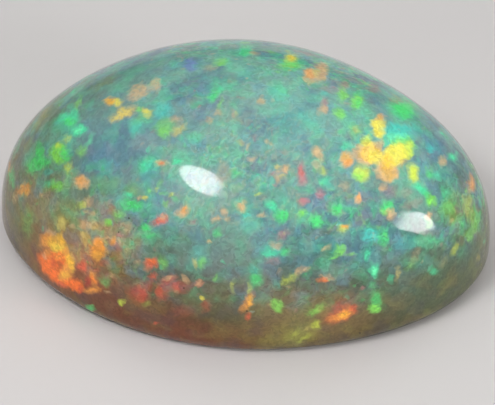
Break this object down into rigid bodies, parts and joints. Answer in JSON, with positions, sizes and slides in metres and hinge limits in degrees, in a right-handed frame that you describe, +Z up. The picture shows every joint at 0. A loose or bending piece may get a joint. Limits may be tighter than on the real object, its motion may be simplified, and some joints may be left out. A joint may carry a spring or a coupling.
{
  "type": "opal cabochon",
  "caption": "Polished oval opal cabochon: a high rounded dome with steep sides, a soft girdle and a flat base, in milky sea green with play of colour.",
  "frame": {"origin": "on the flat base, under the middle of the stone's length and width", "axes": "+Z up from the base through the dome, +X along the stone's length towards its slightly fuller end, +Y along its width"},
  "size_m": [0.014, 0.01, 0.006],
  "materials": {
    "opal": "polished to a high gloss, milky and translucent under the surface"
  },
  "bodies": {
    "root": {"opal": "opal"}
  },
  "joints": []
}
